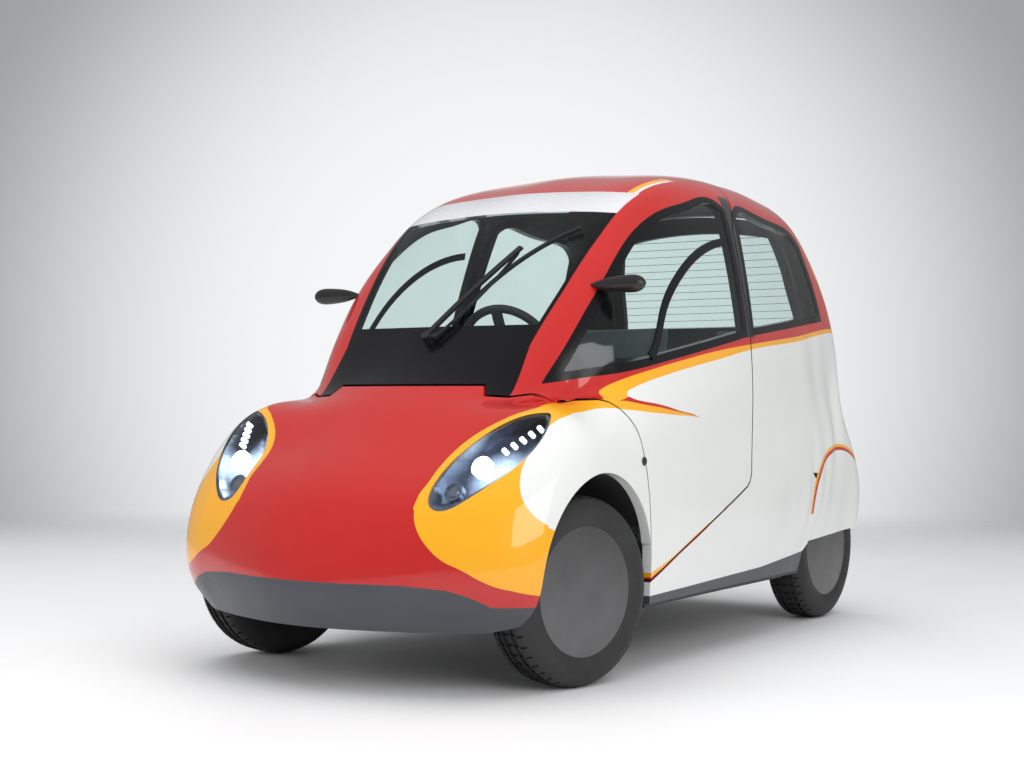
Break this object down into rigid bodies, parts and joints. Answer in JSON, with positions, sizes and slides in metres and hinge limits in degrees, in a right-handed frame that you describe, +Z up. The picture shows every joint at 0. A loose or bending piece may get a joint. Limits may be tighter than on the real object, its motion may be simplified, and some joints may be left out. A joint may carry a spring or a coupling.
{
  "type": "concept city car",
  "caption": "Small city car with a central driver seat, a canopy that tilts up and forward, a tailgate, steered front wheels and part-covered rear wheels.",
  "frame": {"origin": "on the floor, at the centre of the car's box", "axes": "+Z up, nose towards -Y, +X to the car's left"},
  "size_m": [1.3232, 2.5791, 1.5924],
  "materials": {
    "paint_red": "gloss",
    "paint_white": "gloss",
    "trim_black": "gloss",
    "trim_grey": "satin",
    "white_print": "gloss",
    "glazing": "clear",
    "lamp_glass": "clear",
    "lamp_body": "gloss",
    "red_lens": "gloss",
    "structure": "satin",
    "steel": "machined",
    "cast_iron": "cast",
    "rubber_tyre": "matt",
    "wheel_cover": "satin metallic",
    "engine_alloy": "cast",
    "seat_fabric": "woven"
  },
  "bodies": {
    "body": {"dashboard": "structure", "engine": "engine_alloy", "floor_tub": "structure", "front_bumper": "trim_grey", "front_clip": "paint_red", "front_subframe": "steel", "headlamp_lens_left": "lamp_glass", "headlamp_lens_right": "lamp_glass", "headlamp_unit_left": "lamp_body", "headlamp_unit_right": "lamp_body", "lower_side_left": "paint_white", "lower_side_right": "paint_white", "rear_beam": "steel", "rear_body": "paint_white", "rear_bumper": "paint_white", "rear_side_glass_left": "glazing", "rear_side_glass_right": "glazing", "rear_spat_left": "paint_white", "rear_spat_right": "paint_white", "rear_window_frame_left": "trim_black", "rear_window_frame_right": "trim_black", "seat_driver": "seat_fabric", "seat_passenger_left": "seat_fabric", "seat_passenger_right": "seat_fabric", "sill_left": "trim_grey", "sill_right": "trim_grey", "steering_column": "structure", "tail_lamp_left": "red_lens", "tail_lamp_right": "red_lens"},
    "canopy": {"canopy_shell": "paint_red", "cowl": "trim_black", "door_glass_left": "glazing", "door_glass_right": "glazing", "door_window_frame_left": "trim_black", "door_window_frame_right": "trim_black", "header_band": "white_print", "mirror_left": "trim_black", "mirror_right": "trim_black", "pane_frame_left": "trim_black", "pane_frame_right": "trim_black", "windscreen": "glazing", "windscreen_surround": "trim_black", "wiper": "trim_black"},
    "tailgate": {"tailgate": "paint_white", "tailgate_glass": "glazing"},
    "steering_wheel": {"steering_wheel": "structure"},
    "knuckle_left": {"knuckle_left": "cast_iron"},
    "knuckle_right": {"knuckle_right": "cast_iron"},
    "wheel_front_left": {"tyre_front_left": "rubber_tyre", "wheel_front_left": "wheel_cover"},
    "wheel_front_right": {"tyre_front_right": "rubber_tyre", "wheel_front_right": "wheel_cover"},
    "wheel_rear_left": {"tyre_rear_left": "rubber_tyre", "wheel_rear_left": "wheel_cover"},
    "wheel_rear_right": {"tyre_rear_right": "rubber_tyre", "wheel_rear_right": "wheel_cover"}
  },
  "joints": [
    {"name": "canopy_tilt", "type": "hinge", "parent": "body", "child": "canopy", "pos_m": [0, -1.13, 0.55], "axis": [1, 0, 0], "range_deg": [0, 55]},
    {"name": "tailgate_hinge", "type": "hinge", "parent": "body", "child": "tailgate", "pos_m": [0, 1.04, 1.53], "axis": [1, 0, 0], "range_deg": [0, 75]},
    {"name": "steer_left", "type": "hinge", "parent": "body", "child": "knuckle_left", "pos_m": [0.5, -0.755, 0.266], "axis": [0, 0, 1], "range_deg": [-16, 40]},
    {"name": "steer_right", "type": "hinge", "parent": "body", "child": "knuckle_right", "pos_m": [-0.5, -0.755, 0.266], "axis": [0, 0, 1], "range_deg": [-16, 40]},
    {"name": "steering_wheel_turn", "type": "hinge", "parent": "body", "child": "steering_wheel", "pos_m": [0, -0.24, 0.93], "axis": [0, 0.9063, 0.4226], "range_deg": [-224, 560]},
    {"name": "spin_front_left", "type": "hinge", "parent": "knuckle_left", "child": "wheel_front_left", "pos_m": [0.53864, -0.76321, 0.266], "axis": [0.9781, -0.2079, 0], "continuous": true},
    {"name": "spin_front_right", "type": "hinge", "parent": "knuckle_right", "child": "wheel_front_right", "pos_m": [-0.53864, -0.74679, 0.266], "axis": [0.9781, -0.2079, 0], "continuous": true},
    {"name": "spin_rear_left", "type": "hinge", "parent": "body", "child": "wheel_rear_left", "pos_m": [0.5195, 1, 0.266], "axis": [1, 0, 0], "continuous": true},
    {"name": "spin_rear_right", "type": "hinge", "parent": "body", "child": "wheel_rear_right", "pos_m": [-0.5195, 1, 0.266], "axis": [1, 0, 0], "continuous": true}
  ],
  "couplings": [
    {"joint": "steer_right", "follows": "steer_left", "ratio": 1},
    {"joint": "steering_wheel_turn", "follows": "steer_left", "ratio": 14}
  ]
}
